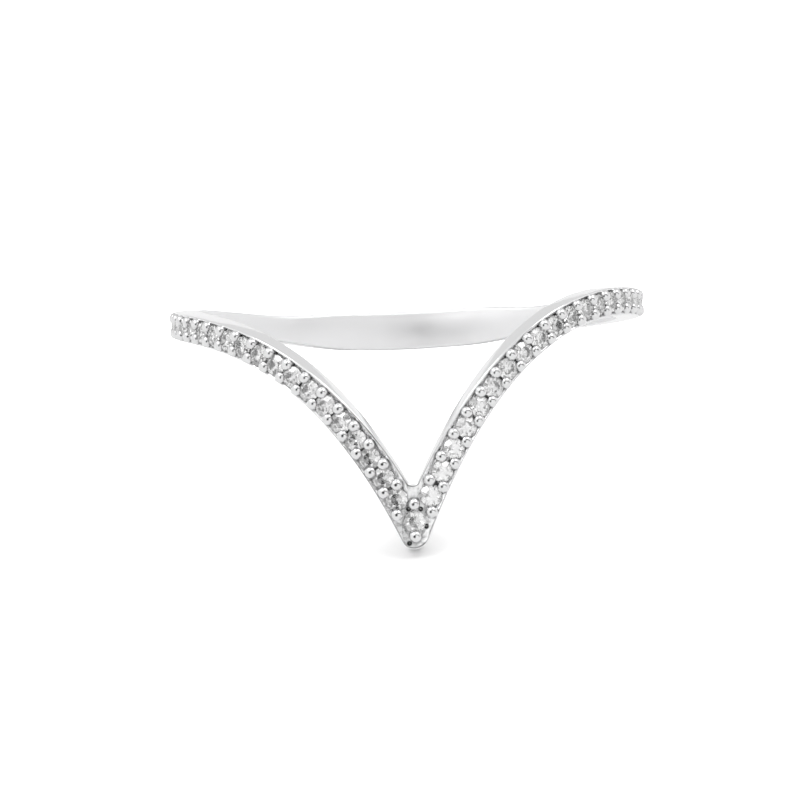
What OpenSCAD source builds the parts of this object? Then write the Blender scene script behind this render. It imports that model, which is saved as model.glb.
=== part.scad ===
// Chevron ring: a fine white metal band that dips to a V at the front. One row of
// small round stones runs along both arms of the V, held by beads of metal that stand
// in a channel cut down between two fine rims.
// Lengths are in millimetres and angles in degrees, measured round the finger from
// the point of the V. The ring lies as it would by itself, on its point and its back.

/* [Finger] */
// Inner diameter of the ring
finger_d = 16.9; // [14:0.1:22]

/* [Band] */
// Thickness of the band, from the finger outwards
band_t = 1.13; // [1:0.01:2]
// Metal left beside the stones at each edge of an arm
rim_w = 0.14; // [0.08:0.01:0.3]
// Extra width of the arms where they meet at the point
tip_extra_w = 0.2; // [0:0.02:0.4]
// Turn from the point over which that extra width fades
tip_fade = 15; // [8:1:30]
// Width of the plain band at the back of the finger
back_w = 1.64; // [1.1:0.02:2.4]
// Turn at which the band starts to widen towards the back
widen_from = 138; // [100:1:145]
// Turn at which it has its full back width
widen_to = 165; // [150:1:175]
// Rounding of the outer edges
edge_r = 0.05; // [0.03:0.01:0.06]
// Rounding of the edges at the finger
finger_edge_r = 0.16; // [0.08:0.01:0.24]

/* [Chevron] */
// Depth of the point below the band's highest part at the sides, along the finger
v_drop = 8.52; // [5:0.05:11]
// Turn at which an arm has become level and the plain band begins
arm_reach = 90; // [70:1:120]
// Bend of the arms: 1 is a straight V, more is hollower
arm_curve = 3.82; // [2:0.02:4.5]
// Depth of the plain band's middle below its ends, at the back of the finger
back_drop = 0.66; // [0:0.02:1.2]
// Radius of the rounded point
point_r = 0.58; // [0.4:0.01:0.7]
// Radius at the bottom of the notch above the point
notch_r = 0.25; // [0.12:0.01:0.4]
// How far the band is out of true: each side is raised or lowered by up to about twice this
skew = 0.175; // [0:0.005:0.25]

/* [Channel] */
// Width of the fine rim left along each edge of the row
channel_rim_w = 0.07; // [0.055:0.005:0.1]
// Distance from an edge at which the cut slopes down to the channel's floor
channel_slope_w = 0.2; // [0.14:0.01:0.24]
// Depth of the channel's floor below the face of the band
channel_depth = 0.1; // [0.04:0.01:0.14]
// Extra length of the lower slope at the point
point_slope_w = 0.25; // [0:0.01:0.3]
// Turn from the point over which it fades
point_slope_fade = 4; // [2:0.5:8]
// Extra length of the upper slope below the notch
notch_slope_w = 0.3; // [0:0.01:0.35]
// Turn from the notch over which it fades
notch_slope_fade = 2.5; // [1.5:0.5:4]
// Turn over which the channel runs out past the last bead
channel_end_fade = 3; // [2:0.5:8]

/* [Stones] */
// Stones in each arm, besides the one at the point
stones_per_arm = 19; // [8:1:19]
// Diameter of a stone
stone_d = 0.85; // [0.7:0.01:1]
// Gap between one stone and the next
stone_gap = 0.072; // [0.07:0.002:0.2]
// Extra gap beside the stone at the point, which fades along the arm
point_gap = 0.175; // [0.08:0.005:0.3]
// Share of that extra gap that is left at each next stone
gap_fade = 0.5; // [0.2:0.05:0.8]
// Distance of the point's stone above the corner where the arms' middle lines meet
point_stone_rise = 0.41; // [0.35:0.01:0.5]
// Table diameter over its corners, as a share of the stone's
table_share = 0.56; // [0.5:0.01:0.62]
// Crown height as a share of the stone's diameter
crown_share = 0.15; // [0.12:0.01:0.17]
// Thickness of the stone's edge at the middle of a facet, as a share of its diameter
girdle_share = 0.03; // [0.02:0.005:0.05]
// Pavilion depth as a share of the stone's diameter
pavilion_share = 0.43; // [0.4:0.01:0.45]
// Clearance between a stone and the metal round it
seat_gap = 0.02; // [0.015:0.005:0.03]

/* [Beads] */
// Diameter of a bead
bead_d = 0.48; // [0.4:0.01:0.5]
// Depth of a bead's centre below the face of the band
bead_sink = 0.02; // [0:0.01:0.06]
// Distance of a bead's side from the edge of the arm
bead_margin = 0.035; // [0.01:0.005:0.06]
// Distance of the lowest bead below the corner of the arms' middle lines
point_bead_drop = 0.17; // [0.1:0.01:0.3]
// Distance of the bead in the notch above that corner
notch_bead_rise = 1.09; // [1:0.01:1.2]

/* [Hidden] */
bore_r = finger_d / 2;
face_r = bore_r + band_t;
arm_w = stone_d + 2 * rim_w;
stone_pitch = stone_d + stone_gap;
mm_per_deg = face_r * PI / 180;
bore_fn = 96;
round_fn = 24;
// Sections round the ring, closer together at the point
sections = 144;
crowding = 1.6;
// Step in degrees over which slopes are taken
slope_step = 0.05;
// Rows of the table that turns a distance along an arm into an angle
row_steps = 360;

// Eases from 0 to 1 as x goes from 0 to 1
function ease(x) = let(t = min(1, max(0, x))) t * t * (3 - 2 * t);

// Height of the middle line of the band at a turn from the point, without the skew
function mid_z(turn) =
    -v_drop * pow(max(0, 1 - turn / arm_reach), arm_curve)
    - back_drop * ease((turn - arm_reach) / (180 - arm_reach));
// How far the skew raises the band at a signed angle
function skew_z(a) = skew * sin(2 * a) * (1 + cos(a));
function mid_slope(turn) = atan2(mid_z(turn + slope_step) - mid_z(turn), slope_step * mm_per_deg);

// Half of the band's width, square to its middle line
function half_w(turn) =
    arm_w / 2
    + tip_extra_w / 2 * exp(-turn / tip_fade)
    + (back_w - arm_w) / 2 * ease((turn - widen_from) / (widen_to - widen_from));

// Height of an edge of the band: side is 1 for the notch side and -1 for the point side
function edge_z(turn, side) = mid_z(turn) + side * half_w(turn) / cos(mid_slope(turn));
function edge_slope(turn, side) =
    atan2(edge_z(turn + slope_step, side) - edge_z(turn, side), slope_step * mm_per_deg);

// Where the arc that rounds the corner of an edge runs into the arm
function arc_end(side, r) =
    let(first = r * sin(edge_slope(0, side)) / mm_per_deg)
    r * sin(edge_slope(first, side)) / mm_per_deg;
function arc_r(side, r) = let(t = arc_end(side, r)) t * mm_per_deg / sin(edge_slope(t, side));
function arc_centre_z(side, r) =
    let(t = arc_end(side, r)) edge_z(t, side) + arc_r(side, r) * cos(edge_slope(t, side));

corner_r = [notch_r, point_r];
corner_end = [arc_end(1, notch_r), arc_end(-1, point_r)];
corner_arc = [arc_r(1, notch_r), arc_r(-1, point_r)];
corner_z = [arc_centre_z(1, notch_r), arc_centre_z(-1, point_r)];

// Height of an edge with its corner rounded, at a signed angle, and with the skew
function side_index(side) = side > 0 ? 0 : 1;
function wall_z(a, side) =
    let(turn = abs(a), i = side_index(side))
    (turn < corner_end[i]
        ? corner_z[i] - sqrt(pow(corner_arc[i], 2) - pow(turn * mm_per_deg, 2))
        : edge_z(turn, side))
    + skew_z(a);
function wall_steep(a, side) =
    let(rise = (wall_z(a + slope_step, side) - wall_z(a - slope_step, side)) / (2 * slope_step * mm_per_deg))
    sqrt(1 + rise * rise);

// Distance along an arm's middle line at each turn, for the rows of stones and beads
function arm_step(turn, d) = norm([d * mm_per_deg, mid_z(turn + d) - mid_z(turn)]);
row_table = [
    for (i = 0, turn = 0, s = 0; i <= row_steps;
        i = i + 1, s = s + arm_step(turn, 180 / row_steps), turn = turn + 180 / row_steps)
        [s, turn]
];
function stone_s(k) =
    point_stone_rise + k * stone_pitch + point_gap * (1 - pow(gap_fade, k)) / (1 - gap_fade);
function bead_s(k) = (stone_s(k - 1) + stone_s(k)) / 2;

// The channel ends just past the last bead of an arm
channel_end = lookup(bead_s(stones_per_arm + 1), row_table) + bead_d / 2 / mm_per_deg;
function floor_r(turn) = face_r - channel_depth * (1 - ease((turn - channel_end) / channel_end_fade));
function faded(w, turn, fade) = w * exp(-pow(turn / fade, 2));

// One section of the band as [radius, height] points, rounded at its four edges, with
// the channel in its face. Its side at the finger reaches a little inside the bore,
// which is cut afterwards.
function section(a) =
    let(
        turn = abs(a),
        low = wall_z(a, -1),
        high = wall_z(a, 1),
        ks = wall_steep(a, -1),
        kh = wall_steep(a, 1),
        low_foot = low + ks * (channel_slope_w + faded(point_slope_w, turn, point_slope_fade)),
        high_foot = high - kh * (channel_slope_w + faded(notch_slope_w, turn, notch_slope_fade)),
        f = finger_edge_r,
        e = edge_r,
        near = 1 - cos(30),
        half = 1 - cos(45)
    )
    [
        [bore_r - near * f, low + ks * f],
        [bore_r + near * f, low + ks * f / 2],
        [bore_r + f / 2, low + ks * near * f],
        [bore_r + f, low],
        [face_r - e, low],
        [face_r - half * e, low + ks * half * e],
        [face_r, low + ks * e],
        [face_r, low + ks * channel_rim_w],
        [floor_r(turn), low_foot],
        [floor_r(turn), high_foot],
        [face_r, high - kh * channel_rim_w],
        [face_r, high - kh * e],
        [face_r - half * e, high - kh * half * e],
        [face_r - e, high],
        [bore_r + f, high],
        [bore_r + f / 2, high - kh * near * f],
        [bore_r + near * f, high - kh * f / 2],
        [bore_r - near * f, high - kh * f],
    ];

function station(i) = let(t = 2 * i / sections - 1) 180 * sign(t) * pow(abs(t), crowding);
band_sections = [for (i = [0:sections - 1]) section(station(i))];
per_section = len(band_sections[0]);
band_points = [
    for (i = [0:sections - 1], p = band_sections[i])
        [p[0] * sin(station(i)), -p[0] * cos(station(i)), p[1]]
];
function band_index(i, j) = (i % sections) * per_section + j % per_section;
band_faces = [
    for (i = [0:sections - 1], j = [0:per_section - 1])
        each [
            [band_index(i, j), band_index(i, j + 1), band_index(i + 1, j + 1)],
            [band_index(i, j), band_index(i + 1, j + 1), band_index(i + 1, j)],
        ]
];

// A place on the face of the band: [angle, height, slope of the row]
function arm_place(s, hand) =
    let(turn = lookup(s, row_table))
    [hand * turn, mid_z(turn) + skew_z(hand * turn), hand * mid_slope(turn)];
function beside(place, off) = [
    place[0] - off * sin(place[2]) / mm_per_deg,
    place[1] + off * cos(place[2]),
    place[2]
];

bead_off = arm_w / 2 - bead_d / 2 - bead_margin;
point_stone_place = [0, -v_drop + point_stone_rise, 0];
stone_places = [
    for (hand = [-1, 1], k = [1:stones_per_arm]) arm_place(stone_s(k), hand)
];
bead_places = [
    [0, -v_drop - point_bead_drop, 0],
    [0, -v_drop + notch_bead_rise, 0],
    for (hand = [-1, 1]) beside(arm_place(bead_s(1), hand), -bead_off),
    for (hand = [-1, 1], k = [2:stones_per_arm + 1], side = [-1, 1])
        beside(arm_place(bead_s(k), hand), side * bead_off)
];

// The lie of the ring on a level surface: it tilts back until the point and the back
// edge touch the surface together, and stands in the middle of its own length
front_points = [for (p = band_points) if (p[1] < 0) p];
back_points = [for (p = band_points) if (p[1] >= 0) p];
function lowest(points, tilt) = min([for (p = points) p[2] * cos(tilt) - p[1] * sin(tilt)]);
function rest_tilt(low, high, tries) =
    let(mid = (low + high) / 2)
    tries == 0 ? mid
    : lowest(front_points, mid) < lowest(back_points, mid) ? rest_tilt(mid, high, tries - 1)
    : rest_tilt(low, mid, tries - 1);
tilt = rest_tilt(0, 60, 16);
lift = -min(lowest(front_points, tilt), lowest(back_points, tilt));
lain_y = [for (p = band_points) p[1] * cos(tilt) + p[2] * sin(tilt)];
shift = -(min(lain_y) + max(lain_y)) / 2;

module as_it_lies() {
    translate([0, shift, lift])
        rotate([-tilt, 0, 0])
            children();
}

// Puts its children on the face of the band, their Z axis pointing outwards
module on_face(place) {
    rotate([0, 0, place[0]])
        translate([0, -face_r, place[1]])
            rotate([90, 0, 0])
                rotate([0, 0, place[2]])
                    children();
}

// Stone: single cut, with eight facets round its table and eight that meet below. The
// upper edge of its girdle is at height 0 in the middle of each facet, and the girdle is
// widest between two facets.
girdle_h = stone_d * girdle_share;
crown_h = stone_d * crown_share;
pavilion_h = stone_d * pavilion_share;
stone_r = stone_d / 2;
table_r = stone_r * table_share;
facets = 8;
half_facet = 180 / facets;
girdle_rise = stone_r * (1 - cos(half_facet)) * crown_h / (stone_r - table_r * cos(half_facet));
girdle_drop = pavilion_h * (1 - cos(half_facet));

function ring_of(n, r, turn, heights) = [
    for (i = [0:n - 1])
        [r * cos(turn + i * 360 / n), r * sin(turn + i * 360 / n), heights[i % len(heights)]]
];
table_at = 0;
girdle_top_at = table_at + facets;
girdle_low_at = girdle_top_at + 2 * facets;
culet_at = girdle_low_at + 2 * facets;
stone_points = concat(
    ring_of(facets, table_r, half_facet, [crown_h]),
    ring_of(2 * facets, stone_r, 0, [0, girdle_rise]),
    ring_of(2 * facets, stone_r, 0, [-girdle_h, -girdle_h - girdle_drop]),
    [[0, 0, -girdle_h - pavilion_h]]
);
function wrap(i, n) = (i + n) % n;
stone_faces = concat(
    [[for (i = [facets - 1:-1:0]) table_at + i]],
    [
        for (i = [0:facets - 1])
            let(m = 2 * i, before = wrap(m - 1, 2 * facets), after = m + 1)
            each [
                [
                    table_at + wrap(i - 1, facets),
                    table_at + i,
                    girdle_top_at + after,
                    girdle_top_at + m,
                    girdle_top_at + before
                ],
                [culet_at, girdle_low_at + before, girdle_low_at + m, girdle_low_at + after],
            ]
    ],
    [
        for (i = [0:2 * facets - 1])
            let(n = wrap(i + 1, 2 * facets))
            [girdle_top_at + i, girdle_top_at + n, girdle_low_at + n, girdle_low_at + i]
    ]
);

module stone(place) {
    color("aliceblue")
        as_it_lies()
            on_face(place)
                polyhedron(stone_points, stone_faces);
}

// Room for a stone in the metal: its outline as cones, larger by the clearance
module seat() {
    r = stone_r + seat_gap;
    rotate_extrude($fn = round_fn)
        polygon([
            [0, crown_h + seat_gap],
            [table_r + seat_gap, crown_h + seat_gap],
            [r, girdle_rise + seat_gap / 2],
            [r, -girdle_h - girdle_drop - seat_gap / 2],
            [0, -girdle_h - pavilion_h - 1.5 * seat_gap],
        ]);
}

// Metal: band and beads cast and raised as one, seats cut for the stones
module shank() {
    color("gainsboro")
        as_it_lies()
            difference() {
                union() {
                    polyhedron(band_points, band_faces);
                    for (place = bead_places)
                        on_face(place) translate([0, 0, -bead_sink]) sphere(d = bead_d, $fn = round_fn);
                }
                cylinder(r = bore_r, h = 4 * v_drop, center = true, $fn = bore_fn);
                on_face(point_stone_place) seat();
                for (place = stone_places) on_face(place) seat();
            }
}

function two_digits(k) = str(k < 10 ? "0" : "", k);
function stone_name(hand, k) = str(hand < 0 ? "stone_left_" : "stone_right_", two_digits(k));

shank();
stone(point_stone_place);  // stone_tip
for (hand = [-1, 1], k = [1:stones_per_arm])
    stone(arm_place(stone_s(k), hand));
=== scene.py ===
import math
import random

import bmesh
import bpy
import numpy as np
from mathutils import Matrix, Vector


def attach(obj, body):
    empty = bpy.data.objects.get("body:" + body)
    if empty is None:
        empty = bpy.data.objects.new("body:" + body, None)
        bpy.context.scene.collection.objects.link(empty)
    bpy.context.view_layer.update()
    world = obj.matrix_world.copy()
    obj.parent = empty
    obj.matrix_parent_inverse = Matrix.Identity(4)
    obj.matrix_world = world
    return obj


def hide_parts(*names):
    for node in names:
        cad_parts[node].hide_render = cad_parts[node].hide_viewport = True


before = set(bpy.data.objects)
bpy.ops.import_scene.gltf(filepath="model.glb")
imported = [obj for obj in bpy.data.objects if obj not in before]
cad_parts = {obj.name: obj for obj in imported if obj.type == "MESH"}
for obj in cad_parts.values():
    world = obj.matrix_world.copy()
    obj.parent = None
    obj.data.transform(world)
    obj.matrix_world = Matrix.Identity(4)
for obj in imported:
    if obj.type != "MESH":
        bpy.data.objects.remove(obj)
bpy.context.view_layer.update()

scene = bpy.context.scene

# The shank: one casting in white gold that dips to a V at the front. Its finger side is
# bored true and its edges are rounded over, then the whole ring is polished and plated
# with rhodium. Lengths here are in millimetres and angles in degrees.
MM = 0.001
finger_r = 16.9 / 2
face_r = finger_r + 1.13
mm_per_degree = math.radians(face_r)
arm_width, tip_extra, tip_fade = 1.13, 0.2, 15
back_width, widen_from, widen_to = 1.64, 138, 165
face_edge, finger_edge, crown = 0.05, 0.16, 0.21
rim, slope_in, channel_depth = 0.07, 0.2, 0.1
channel_end, channel_end_fade = 90.79, 3
point_slope, point_slope_fade, notch_slope, notch_slope_fade = 0.25, 4, 0.3, 2.5
v_drop, arm_reach, arm_curve, back_drop = 8.52, 90, 3.82, 0.66
point_r, notch_r, skew = 0.58, 0.25, 0.175
tilt, shift, lift = math.radians(23.0672), 1.7696, 5.0961
small_turn = 0.05


def ease(x):
    """Rises smoothly from 0 to 1."""
    x = np.clip(x, 0, 1)
    return x * x * (3 - 2 * x)


def middle_height(turn):
    """Height of the band's middle line at a turn from the point of the V."""
    arm = -v_drop * np.maximum(0, 1 - turn / arm_reach) ** arm_curve
    return arm - back_drop * ease((turn - arm_reach) / (180 - arm_reach))


def skew_height(angle):
    """How far one arm stands above the other."""
    a = np.radians(angle)
    return skew * np.sin(2 * a) * (1 + np.cos(a))


def slope(height, turn):
    """Angle in radians at which a line of the band climbs."""
    climb = height(turn + small_turn) - height(turn)
    return np.arctan2(climb, small_turn * mm_per_degree)


def edge_height(turn, side):
    """Height of the band's edge: side is 1 at the notch and -1 at the point."""
    half = arm_width / 2 + tip_extra / 2 * np.exp(-turn / tip_fade)
    widen = ease((turn - widen_from) / (widen_to - widen_from))
    half = half + (back_width - arm_width) / 2 * widen
    return middle_height(turn) + side * half / np.cos(slope(middle_height, turn))


def rounded_edge(angle, side):
    """The edge's height with the corner at the point or the notch rounded by an arc."""

    def edge(t):
        return edge_height(t, side)

    turn, radius = np.abs(angle), notch_r if side > 0 else point_r
    first = radius * math.sin(slope(edge, 0.0)) / mm_per_degree
    end = radius * math.sin(slope(edge, first)) / mm_per_degree
    arc = end * mm_per_degree / math.sin(slope(edge, end))
    centre = float(edge(end)) + arc * math.cos(slope(edge, end))
    inside = np.minimum(turn, end) * mm_per_degree
    rounded = centre - np.sqrt(arc**2 - inside**2)
    return np.where(turn < end, rounded, edge(turn)) + skew_height(angle)


def steepness(angle, side):
    """What a length across the band is multiplied by to give a height at its edge."""
    climb = rounded_edge(angle + small_turn, side) - rounded_edge(angle - small_turn, side)
    return np.sqrt(1 + (climb / (2 * small_turn * mm_per_degree)) ** 2)


def lay_down(points):
    """From the finger's upright axis to the way the ring lies on a table, in metres."""
    x, y, z = np.asarray(points, float).T
    across = y * math.cos(tilt) + z * math.sin(tilt) + shift
    up = z * math.cos(tilt) - y * math.sin(tilt) + lift
    return np.stack([x, across, up], 1) * MM


def mesh_object(name, points, faces):
    mesh = bpy.data.meshes.new(name)
    mesh.from_pydata([tuple(p) for p in points], [], faces)
    mesh.validate()
    piece = bpy.data.objects.new(name, mesh)
    scene.collection.objects.link(piece)
    return piece


arc_points = 7
slope_steps, floor_steps = (0, 0.1, 0.9, 1), (0.05, 0.35, 0.65, 0.95)
crown_steps = (0.75, 0.5, 0.25, 0, -0.25, -0.5, -0.75)


def band_section(angle):
    """One section as radius and height, its four edges rounded, from the finger's low edge."""
    low, high = rounded_edge(angle, -1), rounded_edge(angle, 1)
    below, over = steepness(angle, -1), steepness(angle, 1)
    arc = np.radians(np.linspace(0, 90, arc_points))
    f, e = finger_edge, face_edge
    rows = [(finger_r + f * (1 - math.cos(t)), low + below * f * (1 - math.sin(t))) for t in arc]
    rows += [(face_r - e + e * math.sin(t), low + below * e * (1 - math.cos(t))) for t in arc]

    # The channel in the face: a slope down, its floor, and a slope up to the other rim
    floor_r = face_r - channel_depth * (1 - ease((np.abs(angle) - channel_end) / channel_end_fade))
    at_point = point_slope * np.exp(-((angle / point_slope_fade) ** 2))
    at_notch = notch_slope * np.exp(-((angle / notch_slope_fade) ** 2))
    foot, low_rim = low + below * (slope_in + at_point), low + below * rim
    crest, high_rim = high - over * (slope_in + at_notch), high - over * rim
    rows += [(face_r + (floor_r - face_r) * t, low_rim + (foot - low_rim) * t) for t in slope_steps]
    rows += [(floor_r, foot + (crest - foot) * t) for t in floor_steps]
    rows += [
        (floor_r + (face_r - floor_r) * t, crest + (high_rim - crest) * t) for t in slope_steps
    ]

    rows += [(face_r - e + e * math.cos(t), high - over * e * (1 - math.sin(t))) for t in arc]
    rows += [(finger_r + f * (1 - math.sin(t)), high - over * f * (1 - math.cos(t))) for t in arc]
    top, bottom = high - over * f, low + below * f
    half = (high - low) / (below + over) - f
    for u in crown_steps:
        height = (top + bottom) / 2 + u * (top - bottom) / 2
        rows.append((finger_r - crown * half**2 * (1 - u * u), height))
    return rows


# Sections lie closer together towards the point, where the band bends most
stations = 720
sweep = np.linspace(-1, 1, stations + 1)[:-1]
around = 180 * np.sign(sweep) * np.abs(sweep) ** 1.6
rows = band_section(around)
per_row = len(rows)
radius = np.stack([np.broadcast_to(r, around.shape) for r, _ in rows], 1)
height = np.stack([h for _, h in rows], 1)
angle = np.radians(around)[:, None]
ring_points = np.stack([radius * np.sin(angle), -radius * np.cos(angle), height], 2).reshape(-1, 3)


def index(i, j):
    return (i % stations) * per_row + j % per_row


ring_faces = [
    (index(i, j), index(i + 1, j), index(i + 1, j + 1), index(i, j + 1))
    for i in range(stations)
    for j in range(per_row)
]
shank = mesh_object("shank_polished", lay_down(ring_points), ring_faces)


def new_material(name):
    material = bpy.data.materials.new(name)
    material.use_nodes = True
    nodes, links = material.node_tree.nodes, material.node_tree.links
    return material, nodes, links, nodes["Principled BSDF"]


def polish_group():
    """Hair marks and a faint unevenness that a polishing wheel leaves on metal."""
    group = bpy.data.node_groups.new("wheel_polish", "ShaderNodeTree")
    face = group.interface
    for word, value in (("Size", 1.0), ("Smooth", 0.05), ("Dull", 0.12), ("Waves", 0.0)):
        socket = face.new_socket(word, in_out="INPUT", socket_type="NodeSocketFloat")
        socket.default_value = value
    for word in ("Roughness", "Height"):
        face.new_socket(word, in_out="OUTPUT", socket_type="NodeSocketFloat")
    nodes, links = group.nodes, group.links
    given, made = nodes.new("NodeGroupInput"), nodes.new("NodeGroupOutput")
    where, scale = nodes.new("ShaderNodeTexCoord"), nodes.new("ShaderNodeVectorMath")
    scale.operation = "SCALE"
    links.new(where.outputs["Object"], scale.inputs[0])
    links.new(given.outputs["Size"], scale.inputs["Scale"])

    # Clouds change the roughness between its smooth and its dull value
    cloud, spread = nodes.new("ShaderNodeTexNoise"), nodes.new("ShaderNodeMapRange")
    cloud.inputs["Scale"].default_value, cloud.inputs["Detail"].default_value = 900, 4
    spread.inputs["From Min"].default_value, spread.inputs["From Max"].default_value = 0.35, 0.7
    links.new(scale.outputs[0], cloud.inputs["Vector"])
    links.new(cloud.outputs["Fac"], spread.inputs["Value"])
    links.new(given.outputs["Smooth"], spread.inputs["To Min"])
    links.new(given.outputs["Dull"], spread.inputs["To Max"])
    links.new(spread.outputs[0], made.inputs["Roughness"])

    # Hair marks run along the band, over broad waves
    hair, stretch = nodes.new("ShaderNodeTexNoise"), nodes.new("ShaderNodeMapping")
    broad, relief = nodes.new("ShaderNodeTexNoise"), nodes.new("ShaderNodeMath")
    stretch.inputs["Scale"].default_value = (0.25, 0.25, 3.0)
    hair.inputs["Scale"].default_value, hair.inputs["Detail"].default_value = 9000, 3
    broad.inputs["Scale"].default_value, broad.inputs["Detail"].default_value = 450, 1
    relief.operation = "MULTIPLY_ADD"
    links.new(scale.outputs[0], stretch.inputs["Vector"])
    links.new(stretch.outputs[0], hair.inputs["Vector"])
    links.new(scale.outputs[0], broad.inputs["Vector"])
    links.new(broad.outputs["Fac"], relief.inputs[0])
    links.new(given.outputs["Waves"], relief.inputs[1])
    links.new(hair.outputs["Fac"], relief.inputs[2])
    links.new(relief.outputs[0], made.inputs["Height"])
    return group


wheel_polish = polish_group()
# How far the painted crevice shade reaches and how dark its grey is.
painted_shade_reach, painted_shade_grey, mark_depth = 0.2 * MM, 0.12, 0.004 * MM


def rhodium(name, pale, smooth, dull, relief, waves, size, open_at=0.5):
    """White gold under rhodium, from mirror polish to satin, with painted shade darkening its
    crevices.
    """
    material, nodes, links, bsdf = new_material(name)
    colour = (pale, pale, pale + 0.005, 1)
    bsdf.inputs["Metallic"].default_value = 1.0
    bsdf.inputs["Base Color"].default_value = colour
    marks, bump = nodes.new("ShaderNodeGroup"), nodes.new("ShaderNodeBump")
    marks.node_tree = wheel_polish
    for word, value in (("Size", size), ("Smooth", smooth), ("Dull", dull), ("Waves", waves)):
        marks.inputs[word].default_value = value
    bump.inputs["Strength"].default_value = relief
    bump.inputs["Distance"].default_value = mark_depth
    # Painted shade: ambient occlusion turns the base colour grey in crevices and corners.
    corner, depth = nodes.new("ShaderNodeAmbientOcclusion"), nodes.new("ShaderNodeMapRange")
    corner.samples, corner.inputs["Distance"].default_value = 4, painted_shade_reach
    depth.inputs["From Min"].default_value, depth.inputs["From Max"].default_value = 0.05, open_at
    tone = nodes.new("ShaderNodeMix")
    tone.data_type = "RGBA"
    tone.inputs[6].default_value = (painted_shade_grey, painted_shade_grey, painted_shade_grey, 1)
    tone.inputs[7].default_value = colour
    links.new(corner.outputs["AO"], depth.inputs["Value"])
    links.new(depth.outputs[0], tone.inputs[0])
    links.new(tone.outputs[2], bsdf.inputs["Base Color"])
    links.new(marks.outputs["Roughness"], bsdf.inputs["Roughness"])
    links.new(marks.outputs["Height"], bump.inputs["Height"])
    links.new(bump.outputs["Normal"], bsdf.inputs["Normal"])
    return material


polished = rhodium("rhodium_polished", 0.9, 0.04, 0.1, relief=0.08, waves=0, size=1)
satin = rhodium("rhodium_satin", 0.91, 0.44, 0.52, relief=0.5, waves=40, size=1)
bright_cut = rhodium("rhodium_bright_cut", 0.94, 0.03, 0.1, relief=1, waves=9, size=7)
for material in (polished, satin, bright_cut):
    shank.data.materials.append(material)
channel_rows = range(2 * arc_points, 2 * arc_points + 2 * len(slope_steps) + len(floor_steps) - 1)
outside_rows = range(arc_points - 1, per_row - arc_points - len(crown_steps))
for face in shank.data.polygons:
    row = face.index % per_row
    face.material_index = 2 if row in channel_rows else 0 if row in outside_rows else 1

# The row along both arms: a seat for a stone at the point and nineteen up each arm, and
# between each two of them a bead of the same metal at either edge, raised with a graver
# and rounded with a cup tool. One bead more sits in the notch and one at the very point.
stones_per_arm, stone_d = 19, 0.85
stone_pitch, point_gap, gap_fade = stone_d + 0.072, 0.175, 0.5
point_stone_rise, notch_bead_rise, point_bead_drop = 0.41, 1.09, 0.17
bead_r, bead_sink, bead_margin, bead_flatness = 0.24, 0.02, 0.035, 1 / 1.15
turns = np.linspace(0, 180, 3601)
steps = np.hypot(np.diff(turns) * mm_per_degree, np.diff(middle_height(turns)))
lengths = np.concatenate([[0], np.cumsum(steps)])


def stone_distance(k):
    """Length along an arm from the point of the V to its stone number k."""
    return point_stone_rise + k * stone_pitch + point_gap * (1 - gap_fade**k) / (1 - gap_fade)


def arm_place(distance, hand, beside=0.0):
    """Angle, height and slope at a distance along an arm, moved aside towards the notch."""
    turn = float(np.interp(distance, lengths, turns))
    lean = float(slope(middle_height, turn))
    place_z = float(middle_height(turn) + skew_height(hand * turn))
    place_turn = hand * turn - beside * math.sin(hand * lean) / mm_per_degree
    return (place_turn, place_z + beside * math.cos(lean), hand * lean)


def on_face(place, points):
    """Sets points on the band's face: x along the row, y across it and z outwards."""
    angle, height, lean = place
    x, y, z = np.asarray(points, float).T
    along = x * math.cos(lean) - y * math.sin(lean)
    across = x * math.sin(lean) + y * math.cos(lean)
    a, out = math.radians(angle), face_r + z
    right, back = out * math.sin(a) + along * math.cos(a), along * math.sin(a) - out * math.cos(a)
    return np.stack([right, back, height + across], 1)


stone_places = {"stone_tip": (0.0, -v_drop + point_stone_rise, 0.0)}
bead_places = [(0.0, -v_drop - point_bead_drop, 0.0), (0.0, -v_drop + notch_bead_rise, 0.0)]
bead_aside = arm_width / 2 - bead_r - bead_margin
for hand, word in ((-1, "left"), (1, "right")):
    for k in range(1, stones_per_arm + 1):
        stone_places["stone_%s_%02d" % (word, k)] = arm_place(stone_distance(k), hand)
    for k in range(1, stones_per_arm + 2):
        between = (stone_distance(k - 1) + stone_distance(k)) / 2
        for side in (-1, 1) if k > 1 else (-1,):
            bead_places.append(arm_place(between, hand, side * bead_aside))


def lathe(outline, sides):
    """A closed turned shape from (radius, height) points that start and end on the axis."""
    points, faces = [(0, 0, outline[0][1])], []
    circle = [2 * math.pi * i / sides for i in range(sides)]
    for r, z in outline[1:-1]:
        points += [(r * math.cos(t), r * math.sin(t), z) for t in circle]
    points.append((0, 0, outline[-1][1]))
    last, rings = len(points) - 1, len(outline) - 2
    for i in range(sides):
        n = (i + 1) % sides
        faces.append((0, 1 + i, 1 + n))
        for k in range(rings - 1):
            a, b = 1 + k * sides, 1 + (k + 1) * sides
            faces.append((a + i, b + i, b + n, a + n))
        faces.append((last, 1 + (rings - 1) * sides + n, 1 + (rings - 1) * sides + i))
    return points, faces


def many(name, shape, places):
    """One object of the same shape at many places on the band's face."""
    shape_points, shape_faces = shape
    points, faces = [], []
    for place in places:
        start = len(points)
        points += list(lay_down(on_face(place, shape_points)))
        faces += [tuple(start + v for v in face) for face in shape_faces]
    return mesh_object(name, points, faces)


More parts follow.
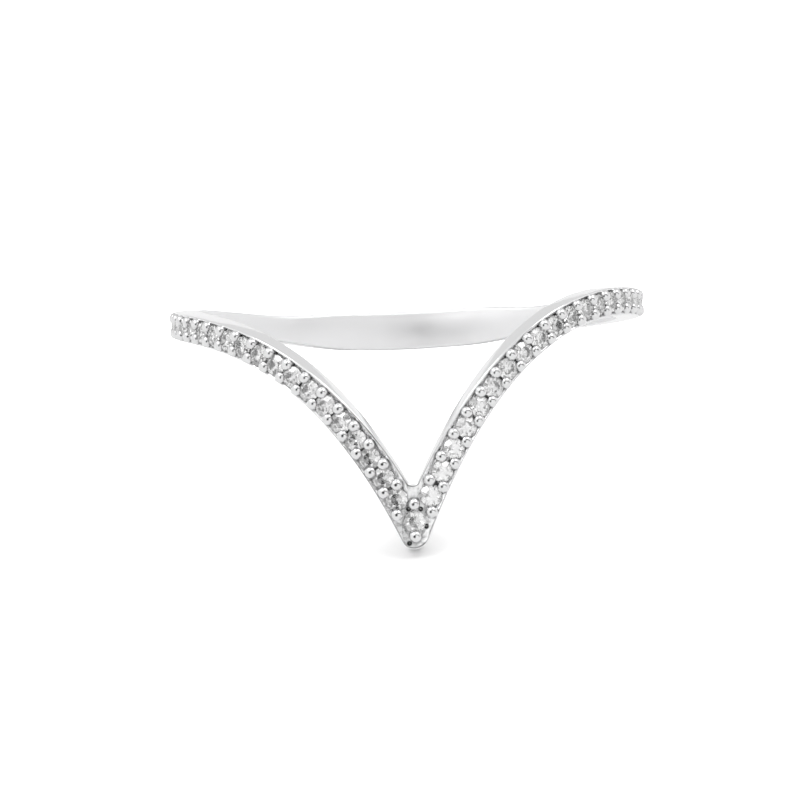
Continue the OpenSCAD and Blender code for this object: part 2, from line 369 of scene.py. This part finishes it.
stone_r, table_r, facets = stone_d / 2, 0.56 * stone_d / 2, 8
crown_h, girdle, pavilion = 0.15 * stone_d, 0.03 * stone_d, 0.43 * stone_d
half_facet = math.pi / facets
flat_share = 1 - math.cos(half_facet)
girdle_rise = stone_r * flat_share * crown_h / (stone_r - table_r * math.cos(half_facet))
girdle_drop = pavilion * flat_share
seat_gap, seat_mouth, seat_lip, seat_top = 0.02, 0.012, 0.02, 0.4
seat_r = stone_r + seat_gap
seat_outline = [
    (0, seat_top),
    (seat_r + seat_mouth, seat_top),
    (seat_r + seat_mouth, girdle_rise),
    (seat_r, girdle_rise - seat_lip),
    (seat_r, -girdle - girdle_drop - seat_gap / 2),
    (0, -girdle - pavilion - 1.5 * seat_gap),
]
seats = many("seats", lathe(seat_outline, 48), stone_places.values())
seat_metal, _, _, bsdf = new_material("rhodium_seat")
bsdf.inputs["Metallic"].default_value = 1.0
bsdf.inputs["Base Color"].default_value = (0.95, 0.95, 0.95, 1)
bsdf.inputs["Roughness"].default_value = 0.15
seats.data.materials.append(seat_metal)

bead_arc = np.radians(np.linspace(90, 0, 10))
dome = [
    (bead_r * max(math.cos(t), 0) ** bead_flatness, bead_r * math.sin(t) ** bead_flatness)
    for t in bead_arc
]
bead_outline = [(r, z - bead_sink) for r, z in dome]
bead_outline += [(r, -z - bead_sink) for r, z in dome[-2::-1]]
beads = many("beads", lathe(bead_outline, 28), bead_places)
# The beads' rhodium is painted a darker grey than the band's as shade, and its painted crevice
# shade reaches further out.
bead_metal = rhodium("rhodium_beads", 0.83, 0.04, 0.1, relief=0.6, waves=3, size=3, open_at=0.85)
beads.data.materials.append(bead_metal)

# Drill marks: small holes that the setter leaves in the metal beside the beads, deep
# enough to look black. Four are round the tip's stone, and the others fall by chance.
pit_r, pit_top, pit_wall, pit_end = 0.1, 0.1, -0.14, -0.32
pit_outline = [(0, pit_top), (pit_r, pit_top), (pit_r, pit_wall), (0, pit_end)]
notch_at, stone_at = -v_drop + notch_bead_rise, -v_drop + point_stone_rise
pit_places = [
    (-0.23 / mm_per_degree, notch_at - 0.18, 0.0),
    (0.25 / mm_per_degree, notch_at - 0.2, 0.0),
    (0.44 / mm_per_degree, stone_at - 0.2, 0.0),
    (-0.25 / mm_per_degree, stone_at - 0.84, 0.0),
]
drill, marked_share = random.Random(5), 0.4
for hand in (-1, 1):
    for k in range(1, stones_per_arm + 1):
        if drill.random() < marked_share:
            between = (stone_distance(k - 1) + stone_distance(k)) / 2
            aside = drill.choice((-1, 1)) * drill.uniform(0.02, 0.08)
            pit_places.append(arm_place(between, hand, aside))
pits = many("pits", lathe(pit_outline, 16), pit_places)
# The pits take the beads' rhodium with its painted shade.
pits.data.materials.append(bead_metal)

# The finished metal: the seats are bored, the beads raised and the marks drilled in that
# order, so it is one casting again. Specks that the cutting leaves are closed up, and
# corners sharper than 38 degrees stay crisp under the polish.
for tool, operation in ((seats, "DIFFERENCE"), (beads, "UNION"), (pits, "DIFFERENCE")):
    step = shank.modifiers.new(tool.name, "BOOLEAN")
    step.operation, step.object = operation, tool
    step.solver, step.material_mode = "EXACT", "TRANSFER"
bpy.context.view_layer.update()
worked = shank.evaluated_get(bpy.context.evaluated_depsgraph_get())
finished = bpy.data.meshes.new_from_object(worked)
shank.modifiers.clear()
shank.data = finished
for tool in (seats, beads, pits):
    bpy.data.objects.remove(tool)
clean, speck = bmesh.new(), 0.0002 * MM
clean.from_mesh(finished)
bmesh.ops.remove_doubles(clean, verts=clean.verts, dist=speck)
bmesh.ops.dissolve_degenerate(clean, edges=clean.edges, dist=speck)
clean.to_mesh(finished)
clean.free()
finished.polygons.foreach_set("use_smooth", [True] * len(finished.polygons))
finished.set_sharp_from_angle(angle=math.radians(38))
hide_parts("shank")
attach(shank, "root")

# The stones: round diamonds of 0.85 mm in the plain single cut of such small sizes, a
# table with eight facets above the edge and eight below. Each is dropped into its seat
# from outside, turned and tipped by chance, and held by the beads pushed over its edge.
brilliant, nodes, links, bsdf = new_material("brilliant")
bsdf.inputs["Base Color"].default_value = (1, 1, 1, 1)
bsdf.inputs["IOR"].default_value = 2.42
bsdf.inputs["Transmission Weight"].default_value = 1.0
marks = nodes.new("ShaderNodeGroup")
marks.node_tree = wheel_polish
marks.inputs["Smooth"].default_value, marks.inputs["Dull"].default_value = 0.03, 0.16
links.new(marks.outputs["Roughness"], bsdf.inputs["Roughness"])


def ring_of(count, r, start, heights):
    """Points round the stone's axis that take the given heights in turn."""
    points = []
    for i in range(count):
        t = start + 2 * math.pi * i / count
        points.append((r * math.cos(t), r * math.sin(t), heights[i % len(heights)]))
    return points


edges = 2 * facets
cut_points = ring_of(facets, table_r, half_facet, [crown_h])
cut_points += ring_of(edges, stone_r, 0, [0, girdle_rise])
cut_points += ring_of(edges, stone_r, 0, [-girdle, -girdle - girdle_drop])
cut_points.append((0, 0, -girdle - pavilion))
upper, lower, culet = facets, facets + edges, facets + 2 * edges
cut_faces = [list(range(facets))]
for i in range(facets):
    m, before, after = 2 * i, (2 * i - 1) % edges, 2 * i + 1
    cut_faces.append([i, (i - 1) % facets, upper + before, upper + m, upper + after])
    cut_faces.append([culet, lower + after, lower + m, lower + before])
for i in range(edges):
    n = (i + 1) % edges
    cut_faces.append([upper + i, lower + i, lower + n, upper + n])
diamond = bpy.data.meshes.new("single_cut")
diamond.from_pydata(cut_points, [], cut_faces)
diamond.materials.append(brilliant)
chance, most_tip = random.Random(30), 4
for name, place in stone_places.items():
    stone = bpy.data.objects.new(name + "_cut", diamond)
    scene.collection.objects.link(stone)
    corners = lay_down(on_face(place, [(0, 0, 0), (1, 0, 0), (0, 1, 0), (0, 0, 1)]))
    centre, along_row, across_row, outwards = corners
    axes = Matrix([(v - centre) / MM for v in (along_row, across_row, outwards)]).transposed()
    tips = [math.radians(chance.uniform(-most_tip, most_tip)) for _ in "XY"]
    tipped = Matrix.Rotation(tips[0], 3, "X") @ Matrix.Rotation(tips[1], 3, "Y")
    turned = axes @ tipped @ Matrix.Rotation(chance.uniform(0, 2 * half_facet), 3, "Z")
    stone.matrix_world = Matrix.Translation(centre) @ turned.to_4x4() @ Matrix.Scale(MM, 4)
    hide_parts(name)
    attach(stone, "root")

# The table: plain white, with light painted into it that shows only straight to the camera,
# as for a catalogue picture. That painted light fades towards the tip of the ring, which
# leaves a painted shadow there as a soft halo, beside the ring's own shadow.
floor = mesh_object("floor", [(-2, -2, 0), (2, -2, 0), (2, 2, 0), (-2, 2, 0)], [(0, 1, 2, 3)])
table, nodes, links, bsdf = new_material("table_painted_light")
bsdf.inputs["Base Color"].default_value = (0.82, 0.82, 0.82, 1)
bsdf.inputs["Roughness"].default_value = 0.9
bsdf.inputs["Specular IOR Level"].default_value = 0.0
bsdf.inputs["Emission Strength"].default_value = 1.0
where, reach = nodes.new("ShaderNodeTexCoord"), nodes.new("ShaderNodeMapping")
reach.inputs["Location"].default_value = (0.0007, 0.0111, 0)
reach.inputs["Scale"].default_value = (2, 1, 1)
away, painted_glow = nodes.new("ShaderNodeVectorMath"), nodes.new("ShaderNodeMapRange")
seen, shown = nodes.new("ShaderNodeLightPath"), nodes.new("ShaderNodeMath")
away.operation, painted_glow.interpolation_type, shown.operation = "LENGTH", "SMOOTHSTEP", "MULTIPLY"
# The painted shadow: the table's painted light is weakest round the tip and full further off.
painted_shadow_halo = (("From Min", 0.0), ("From Max", 0.017), ("To Min", 0.17), ("To Max", 1.3))
for socket, value in painted_shadow_halo:
    painted_glow.inputs[socket].default_value = value
links.new(where.outputs["Object"], reach.inputs["Vector"])
links.new(reach.outputs[0], away.inputs[0])
links.new(away.outputs["Value"], painted_glow.inputs["Value"])
links.new(painted_glow.outputs[0], shown.inputs[0])
links.new(seen.outputs["Is Camera Ray"], shown.inputs[1])
links.new(shown.outputs[0], bsdf.inputs["Emission Color"])
floor.data.materials.append(table)

# The camera: in front of the ring and a little above it, with a long lens. Its place and
# its turn were fitted to the photo together with the ring's sizes.
camera_place = Vector((1.013, -145.755, 67.112)) * MM
camera = bpy.data.objects.new("camera", bpy.data.cameras.new("camera"))
scene.collection.objects.link(camera)
camera.location = camera_place
camera.rotation_euler = [math.radians(v) for v in (65.913, 2.6285, -0.6018)]
camera.data.sensor_width, camera.data.lens = 36, 174.24
camera.data.clip_start, camera.data.clip_end = 0.01, 10
scene.camera = camera

# The tent: white cloth all round with small lamps overhead. A dark spot beside the
# camera and a thin dark arch, where the cloth is open, show in the beads as a dot and a
# curl. The spot is smaller in what is seen through a stone, so the stones stay bright.
world = bpy.data.worlds.new("tent")
scene.world = world
world.use_nodes = True
sky, wires = world.node_tree.nodes, world.node_tree.links
background, direction = sky["Background"], sky.new("ShaderNodeTexCoord")
background.inputs["Color"].default_value = (1, 1, 1, 1)


def feed(socket, value):
    """Sets a socket to a number, or joins it to another socket."""
    if isinstance(value, (int, float)):
        socket.default_value = value
    else:
        wires.new(value, socket)


def sky_math(operation, *values):
    """One step of arithmetic on the direction of the light."""
    step = sky.new("ShaderNodeMath")
    step.operation = operation
    for socket, value in zip(step.inputs, values):
        feed(socket, value)
    return step.outputs[0]


def along(axis):
    """How far the direction of the light points along an axis."""
    dot = sky.new("ShaderNodeVectorMath")
    dot.operation, dot.inputs[1].default_value = "DOT_PRODUCT", axis
    wires.new(direction.outputs["Generated"], dot.inputs[0])
    return dot.outputs["Value"]


def soft_step(value, start, end):
    """Rises smoothly from 0 at the start to 1 at the end."""
    step = sky.new("ShaderNodeMapRange")
    step.interpolation_type = "SMOOTHSTEP"
    step.inputs["From Min"].default_value, step.inputs["From Max"].default_value = start, end
    wires.new(value, step.inputs["Value"])
    return step.outputs[0]


def laid_over(below, value, share):
    """A brightness laid over what is below it, by its share."""
    mix = sky.new("ShaderNodeMix")
    mix.data_type = "FLOAT"
    for place, given in ((0, share), (2, below), (3, value)):
        feed(mix.inputs[place], given)
    return mix.outputs[0]


def patch(towards, inner, outer, value, below, share=1.0):
    """A soft round patch of light in one direction, between two angles from its middle."""
    facing = along(Vector(towards).normalized())
    spot = soft_step(facing, math.cos(math.radians(outer)), math.cos(math.radians(inner)))
    return laid_over(below, value, sky_math("MULTIPLY", spot, share))


towards_camera = camera_place.normalized()
side_on = towards_camera.cross(Vector((0, 0, 1))).normalized()
upright = side_on.cross(towards_camera)


def seen_from_ring(right, above):
    """A direction so many degrees to the right of the camera and above it."""
    turned = Matrix.Rotation(math.radians(right), 3, upright) @ towards_camera
    return Matrix.Rotation(math.radians(above), 3, side_on) @ turned


# White cloth, brighter overhead and greyer at the back
light = patch((0, 0, 1), 5, 85, 1.08, 0.92)
light = patch((0, 1, 0.2), 45, 78, 0.76, light)
light = patch(seen_from_ring(0, 0), 25, 60, 0.98, light)
for lamp in ((-0.5, -0.2, 1), (0.5, 0.2, 1), (-0.9, 0.1, 1.6), (0.9, -0.1, 1.6)):
    light = patch(lamp, 8, 12, 4.0, light)

# The dark spot
path = sky.new("ShaderNodeLightPath")
off_metal = sky_math("LESS_THAN", path.outputs["Transmission Depth"], 0.5)
light = patch(seen_from_ring(-17, -3), 12, 16.5, 0.0, light)
light = patch(seen_from_ring(-14, -3), 15.5, 19.5, 0.0, light, off_metal)

# The dark arch, in radians to the right of the camera and above it
right = sky_math("ARCTAN2", along(-side_on), along(towards_camera))
above = sky_math("ARCSINE", along(upright))
swing = sky_math("MULTIPLY", sky_math("SUBTRACT", right, 0.45), 1.7)
arch = sky_math("MULTIPLY_ADD", sky_math("COSINE", swing), 0.5, -0.05)
gap = soft_step(sky_math("ABSOLUTE", sky_math("SUBTRACT", above, arch)), 0.15, 0.09)
gap = sky_math("MULTIPLY", gap, soft_step(right, -0.2, 0.0))
gap = sky_math("MULTIPLY", gap, soft_step(right, 1.5, 1.2))
wires.new(laid_over(light, 0.02, gap), background.inputs["Strength"])

# Light is followed through many bounces, or it would die inside the stones
scene.view_settings.view_transform = "Standard"
scene.cycles.max_bounces = 24
scene.cycles.glossy_bounces = scene.cycles.transmission_bounces = 16
